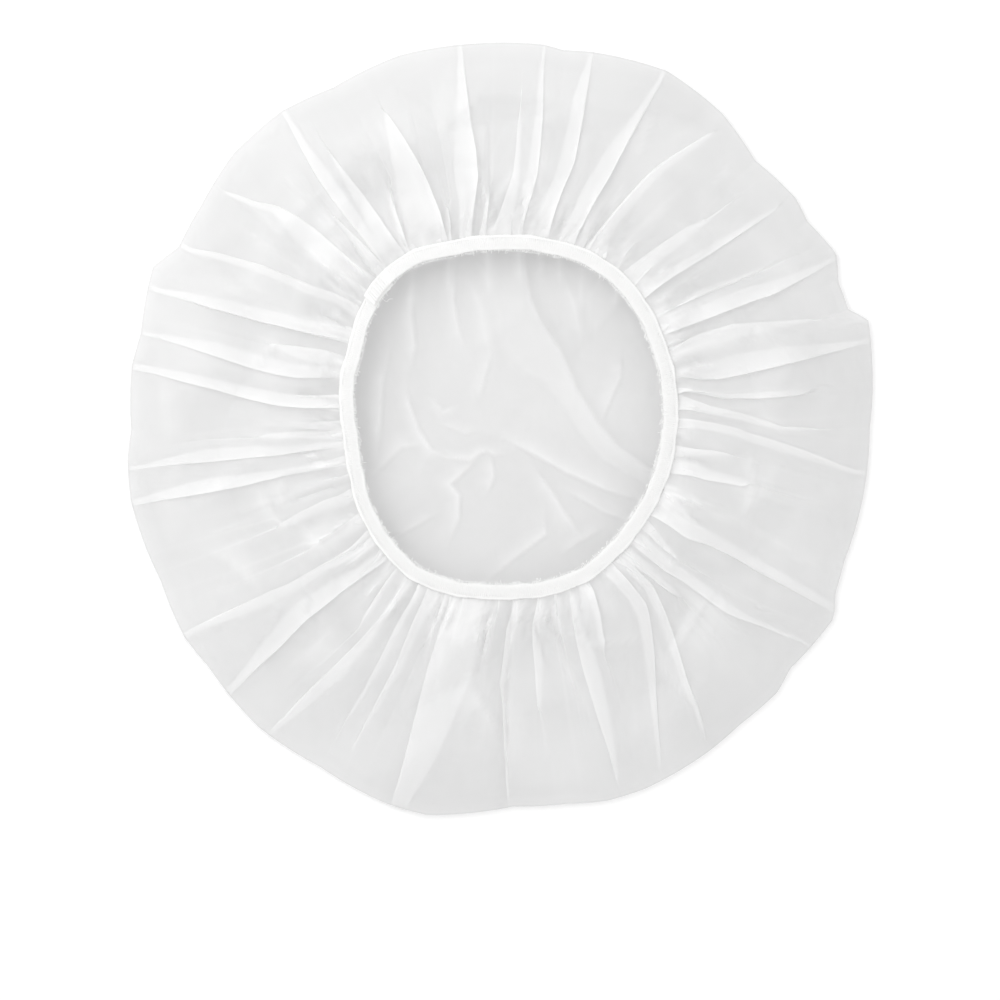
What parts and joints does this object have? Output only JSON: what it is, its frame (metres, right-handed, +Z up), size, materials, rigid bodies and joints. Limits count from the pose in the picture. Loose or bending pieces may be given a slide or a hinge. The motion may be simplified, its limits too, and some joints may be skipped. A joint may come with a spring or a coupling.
{
  "type": "shower cap",
  "caption": "Round shower cap of frosted see-through film, gathered into a white elastic band that holds it over the hair.",
  "frame": {"origin": "on the table under the middle of the cap's outline, at the crown's outer face", "axes": "+Z up, out of the mouth, with the crown lying on z = 0; the tape's lapped join is in the -X +Y quarter"},
  "size_m": [0.27, 0.2794, 0.0175],
  "materials": {
    "film": "frosted, translucent",
    "elastic": "woven elastic, matt",
    "thread": "spun sewing thread, matt"
  },
  "bodies": {
    "pouch": {"film": "film"},
    "mouth": {"elastic_band": "elastic", "needle_thread": "thread", "upper_looper_thread": "thread", "lower_looper_thread": "thread", "lap_tack": "thread"}
  },
  "joints": [
    {"name": "mouth_lift", "type": "slide", "parent": "pouch", "child": "mouth", "axis": [0, 0, 1], "range_m": [0, 0.04], "deforming": ["film"]}
  ]
}
